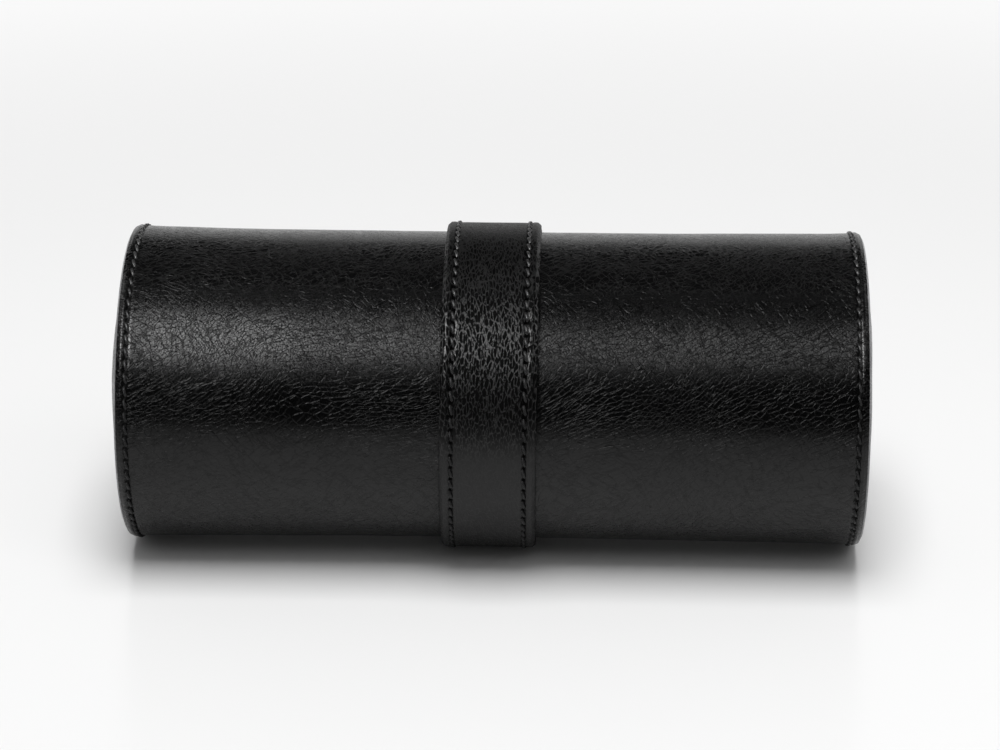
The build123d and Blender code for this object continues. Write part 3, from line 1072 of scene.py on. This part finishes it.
class Cushions(bpy.types.Operator):
    """Stuffs the three suede cushions and sews a channel near each of their ends"""

    bl_idname = "roll.cushions"
    bl_label = "Cushions"

    def stuffed(self, context):
        """The middle cushion's mesh, stuffed, and the box of its solid."""
        sizes = context.scene.roll_cushions
        low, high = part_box("cushion_middle")
        middle = (low + high) / 2
        build = bmesh.new()
        build.from_mesh(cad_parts["cushion_middle"].data)
        bmesh.ops.remove_doubles(build, verts=build.verts, dist=0.00001)
        for vertex in build.verts:
            vertex.co = middle + (vertex.co - middle) * CUSHION_START
        piece = placed("cushion_form", closed_mesh("cushion_form", build))
        remesh = piece.modifiers.new("Cloth grid", "REMESH")
        remesh.mode = "VOXEL"
        remesh.voxel_size = sizes.voxel
        settle(piece)
        self.blow_up(context, piece, sizes)
        smooth = piece.modifiers.new("Fine", "SUBSURF")
        smooth.levels = smooth.render_levels = 2
        settle(piece)
        mesh = piece.data
        bpy.data.objects.remove(piece)
        return mesh, low, high

    def blow_up(self, context, piece, sizes):
        """Lets pressure fill the cloth, no further than the swell that is asked for."""
        start = [vertex.co.copy() for vertex in piece.data.vertices]
        cloth = piece.modifiers.new("Stuffing", "CLOTH")
        cloth.settings.use_pressure = True
        cloth.settings.uniform_pressure_force = CUSHION_PRESSURE
        cloth.settings.effector_weights.gravity = 0.0
        cloth.point_cache.frame_start = 1
        cloth.point_cache.frame_end = sizes.frames
        for step in range(1, sizes.frames + 1):
            context.scene.frame_set(step)
        settle(piece)
        context.scene.frame_set(1)
        for vertex, origin in zip(piece.data.vertices, start):
            shift = vertex.co - origin
            if shift.length > sizes.swell:
                vertex.co = origin + shift.normalized() * sizes.swell

    def sewn(self, away, middle, half, depth, number):
        """Where a point of a cushion goes, with its channels, pleats and soft unevenness."""
        axial = away.x / half.x
        radial = Vector((0.0, away.y, away.z))
        turn = math.atan2(away.z, away.y)
        from_seam = abs(axial) - CUSHION_SEAM
        channel = math.exp(-((from_seam / CHANNEL_WIDTH) ** 2))
        gather = math.exp(-((from_seam / GATHER_WIDTH) ** 2))
        wander = 1.6 * math.sin(turn * 5 + number)
        pleat = math.sin(turn * CUSHION_PLEATS + wander + number * 2)
        soft = CUSHION_WAVES * noise.noise(away * 60 + Vector((number * 7.0, 0, 0)))
        sunk = depth * channel + CUSHION_SLIMMING * min(1.0, (axial / CUSHION_SEAM) ** 2)
        if radial.length > 0.001:
            radial += radial.normalized() * (soft + PLEAT_RISE * pleat * gather - sunk)
        place = middle + Vector((away.x, radial.y, radial.z))
        from_axis = Vector((0.0, place.y, place.z - AXIS_Z))
        most = LINING_RADIUS - CUSHION_GAP
        if from_axis.length > most:
            from_axis *= most / from_axis.length
        return Vector((place.x, from_axis.y, AXIS_Z + from_axis.z))

    def execute(self, context):
        depth = context.scene.roll_cushions.seam_depth
        form, low, high = self.stuffed(context)
        half = (high - low) / 2
        middle = (low + high) / 2
        offsets = [vertex.co - middle for vertex in form.vertices]
        reach = [max(abs(away[axis]) for away in offsets) for axis in range(3)]
        fitted = [
            Vector(away[axis] * half[axis] / reach[axis] for axis in range(3)) for away in offsets
        ]
        tree = stitch_tree()
        for number, side in enumerate(("left", "middle", "right")):
            node_low, node_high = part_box("cushion_" + side)
            shift = (node_low + node_high) / 2 - middle
            mesh = form.copy()
            mesh.name = "cushion_pad_" + side
            for vertex, away in zip(mesh.vertices, fitted):
                vertex.co = self.sewn(away, middle, half, depth, number) + shift
            cushion = link("cushion_pad_" + side, mesh, [FINISHES["cushion"]])
            hang(cushion, "case", "cushion_suede", "cushion_" + side)
            self.sew(context, side, tree, mesh, middle + shift, half.x * CUSHION_SEAM)
        return {"FINISHED"}

    def sew(self, context, side, tree, mesh, centre, seam):
        """Lays stitches in a cushion's two channels."""
        sizes = context.scene.roll_stitches
        skin = BVHTree.FromPolygons(
            [vertex.co for vertex in mesh.vertices], [face.vertices for face in mesh.polygons]
        )
        lines = []
        for sign in (-1, 1):
            line = []
            start = centre + Vector((sign * seam, 0.0, 0.0))
            for angle in spread(0.0, 2 * math.pi, 120):
                outward = Vector((0.0, math.cos(angle), math.sin(angle)))
                spot = skin.ray_cast(start, outward)[0]
                if spot is None:
                    raise RuntimeError("the " + side + " cushion has a gap in its skin")
                line.append(spot)
            lines.append(line)
        fine = (sizes.pitch * 0.95, sizes.length * 0.85, sizes.thickness * 0.7, 0.0)
        numbers = (*fine, centre.z, centre.y)
        stitches = seam_row("cushion_stitches_" + side, tree, numbers, lines)
        hang(stitches, "case", "thread")


def floor_gloss(graph, colour):
    """Glossy floor that shines by itself far from the roll, for the camera only."""
    place = graph.add("ShaderNodeTexCoord", {}, None, "Object")
    away = graph.add("ShaderNodeVectorMath", {"operation": "LENGTH"}, {0: place}, "Value")
    seen = graph.add("ShaderNodeLightPath", {}, None, "Is Camera Ray")
    fade = graph.eased(away, *FLOOR_FADE) * seen
    dark = (0.0, 0.0, 0.0)
    return {
        "Base Color": graph.tint(fade, colour, dark),
        "Roughness": 0.2,
        "Specular IOR Level": 0.25,
        "Emission Color": graph.tint(fade, dark, (FLOOR_GLOW, FLOOR_GLOW, FLOOR_GLOW)),
        "Emission Strength": 1.0,
    }


def bright_paper(graph):
    """Paper lit from behind."""
    return {
        "Base Color": (0.02, 0.02, 0.02, 1.0),
        "Emission Color": (1.0, 1.0, 1.0, 1.0),
        "Emission Strength": WALL_GLOW,
    }


class Stage(bpy.types.Operator):
    """Sets up the white floor, the soft lights and the camera"""

    bl_idname = "roll.stage"
    bl_label = "Floor, lights and camera"

    def lamp(self, name, place, aim, size, power, lit=True, mirrored=True):
        light = bpy.data.lights.new(name, "AREA")
        light.shape = "RECTANGLE"
        light.size, light.size_y = size
        light.energy = power
        lamp = placed(name, light)
        lamp.location = place
        lamp.visible_diffuse = lit
        lamp.visible_glossy = mirrored
        lamp.rotation_euler = (Vector(aim) - Vector(place)).to_track_quat("-Z", "Y").to_euler()
        return lamp

    def sheet(self, name, low, high, material):
        """A flat four-cornered piece of the stage, from its front edge to its back edge."""
        mesh = bpy.data.meshes.new(name)
        corners = [low, (high[0], low[1], low[2]), high, (low[0], high[1], high[2])]
        mesh.from_pydata(corners, [], [(0, 1, 2, 3)])
        piece = link(name, mesh, [material])
        piece.location.z = -FLOOR_DROP
        return piece

    def floors(self, scene):
        """The floor in two parts: its front shows in no reflection."""
        gloss = finish_material("floor_finish", floor_gloss, scene.roll_colours.floor)
        reach = FLOOR_REACH
        halves = (("floor", FLOOR_FRONT, reach), ("floor_front", -reach, FLOOR_FRONT))
        far, near = (
            self.sheet(name, (-reach, front, 0.0), (reach, back, 0.0), gloss)
            for name, front, back in halves
        )
        near.visible_glossy = False
        return far, near

    def surroundings(self, scene):
        """A bright wall that the camera doesn't see, in a room that is dark to reflections."""
        paper = finish_material("backdrop_finish", bright_paper)
        wall = self.sheet("backdrop", *WALL, paper)
        wall.visible_camera = False
        world = bpy.data.worlds.new("studio")
        scene.world = world
        world.use_nodes = True
        world.node_tree.nodes.clear()
        graph = Graph(world.node_tree)
        seen = graph.add("ShaderNodeLightPath", {}, None, "Is Camera Ray")
        spread_out = graph.add("ShaderNodeLightPath", {}, None, "Is Diffuse Ray")
        strength = seen * WORLD_SEEN + spread_out * WORLD_SPREAD + WORLD_MIRRORED
        white = (1, 1, 1, 1)
        glow = graph.add("ShaderNodeBackground", {}, {"Color": white, "Strength": strength})
        graph.add("ShaderNodeOutputWorld", {}, {"Surface": glow})

    def camera(self, scene):
        camera = bpy.data.cameras.new("camera")
        camera.sensor_width = 36.0
        camera.lens = CAMERA_LENS
        camera.clip_start = 0.01
        view = placed("camera", camera)
        flat = math.cos(CAMERA_PITCH)
        sideways, forward = math.sin(CAMERA_YAW) * flat, math.cos(CAMERA_YAW) * flat
        ahead = Vector((sideways, forward, math.sin(CAMERA_PITCH)))
        right = ahead.cross(Vector((0, 0, 1))).normalized()
        up = right.cross(ahead)
        tilt = Matrix.Rotation(CAMERA_ROLL, 3, ahead)
        aim = Matrix((tilt @ right, tilt @ up, -ahead)).transposed().to_4x4()
        aim.translation = CAMERA_PLACE
        view.matrix_world = aim
        scene.camera = view

    def execute(self, context):
        scene = context.scene
        unlit = bpy.data.collections.new("floor_without_lamps")
        for piece in self.floors(scene):
            unlit.objects.link(piece)
        for item in unlit.collection_objects:
            item.light_linking.link_state = "EXCLUDE"
        self.surroundings(scene)
        for softbox in SOFTBOXES:
            self.lamp(*softbox, lit=False).light_linking.receiver_collection = unlit
        self.lamp(*FILL)
        self.lamp(*CEILING, mirrored=False)
        self.camera(scene)
        scene.view_settings.view_transform = "Standard"
        return {"FINISHED"}


class RollPanel(bpy.types.Panel):
    """Lists the roll's pieces and their sizes"""

    bl_idname = "ROLL_PT_pieces"
    bl_label = "Jewellery Roll"
    bl_space_type = "VIEW_3D"
    bl_region_type = "UI"
    bl_category = "Jewellery Roll"

    def draw(self, context):
        layout = self.layout
        for operator in OPERATORS:
            layout.operator(operator.bl_idname)
        for group in GROUPS:
            box = layout.box()
            values = getattr(context.scene, group)
            for name in values.__annotations__:
                box.prop(values, name)


OPERATORS = (OuterLeather, Strap, Stitches, EndCaps, Inside, Cushions, Stage)
GROUPS = {
    "roll_sizes": RollSizes,
    "roll_stitches": StitchSizes,
    "roll_cushions": CushionSizes,
    "roll_colours": RollColours,
}
CLASSES = (*GROUPS.values(), *OPERATORS, RollPanel)


def register():
    for item in CLASSES:
        bpy.utils.register_class(item)
    for name, group in GROUPS.items():
        setattr(bpy.types.Scene, name, PointerProperty(type=group))


def unregister():
    for name in GROUPS:
        delattr(bpy.types.Scene, name)
    for item in reversed(CLASSES):
        bpy.utils.unregister_class(item)


def main():
    register()
    make_finishes(bpy.context)
    bpy.ops.roll.outer_leather()
    bpy.ops.roll.strap()
    bpy.ops.roll.stitches()
    bpy.ops.roll.end_caps()
    bpy.ops.roll.inside()
    bpy.ops.roll.cushions()
    bpy.ops.roll.stage()
    bpy.context.view_layer.update()


if __name__ == "__main__":
    main()
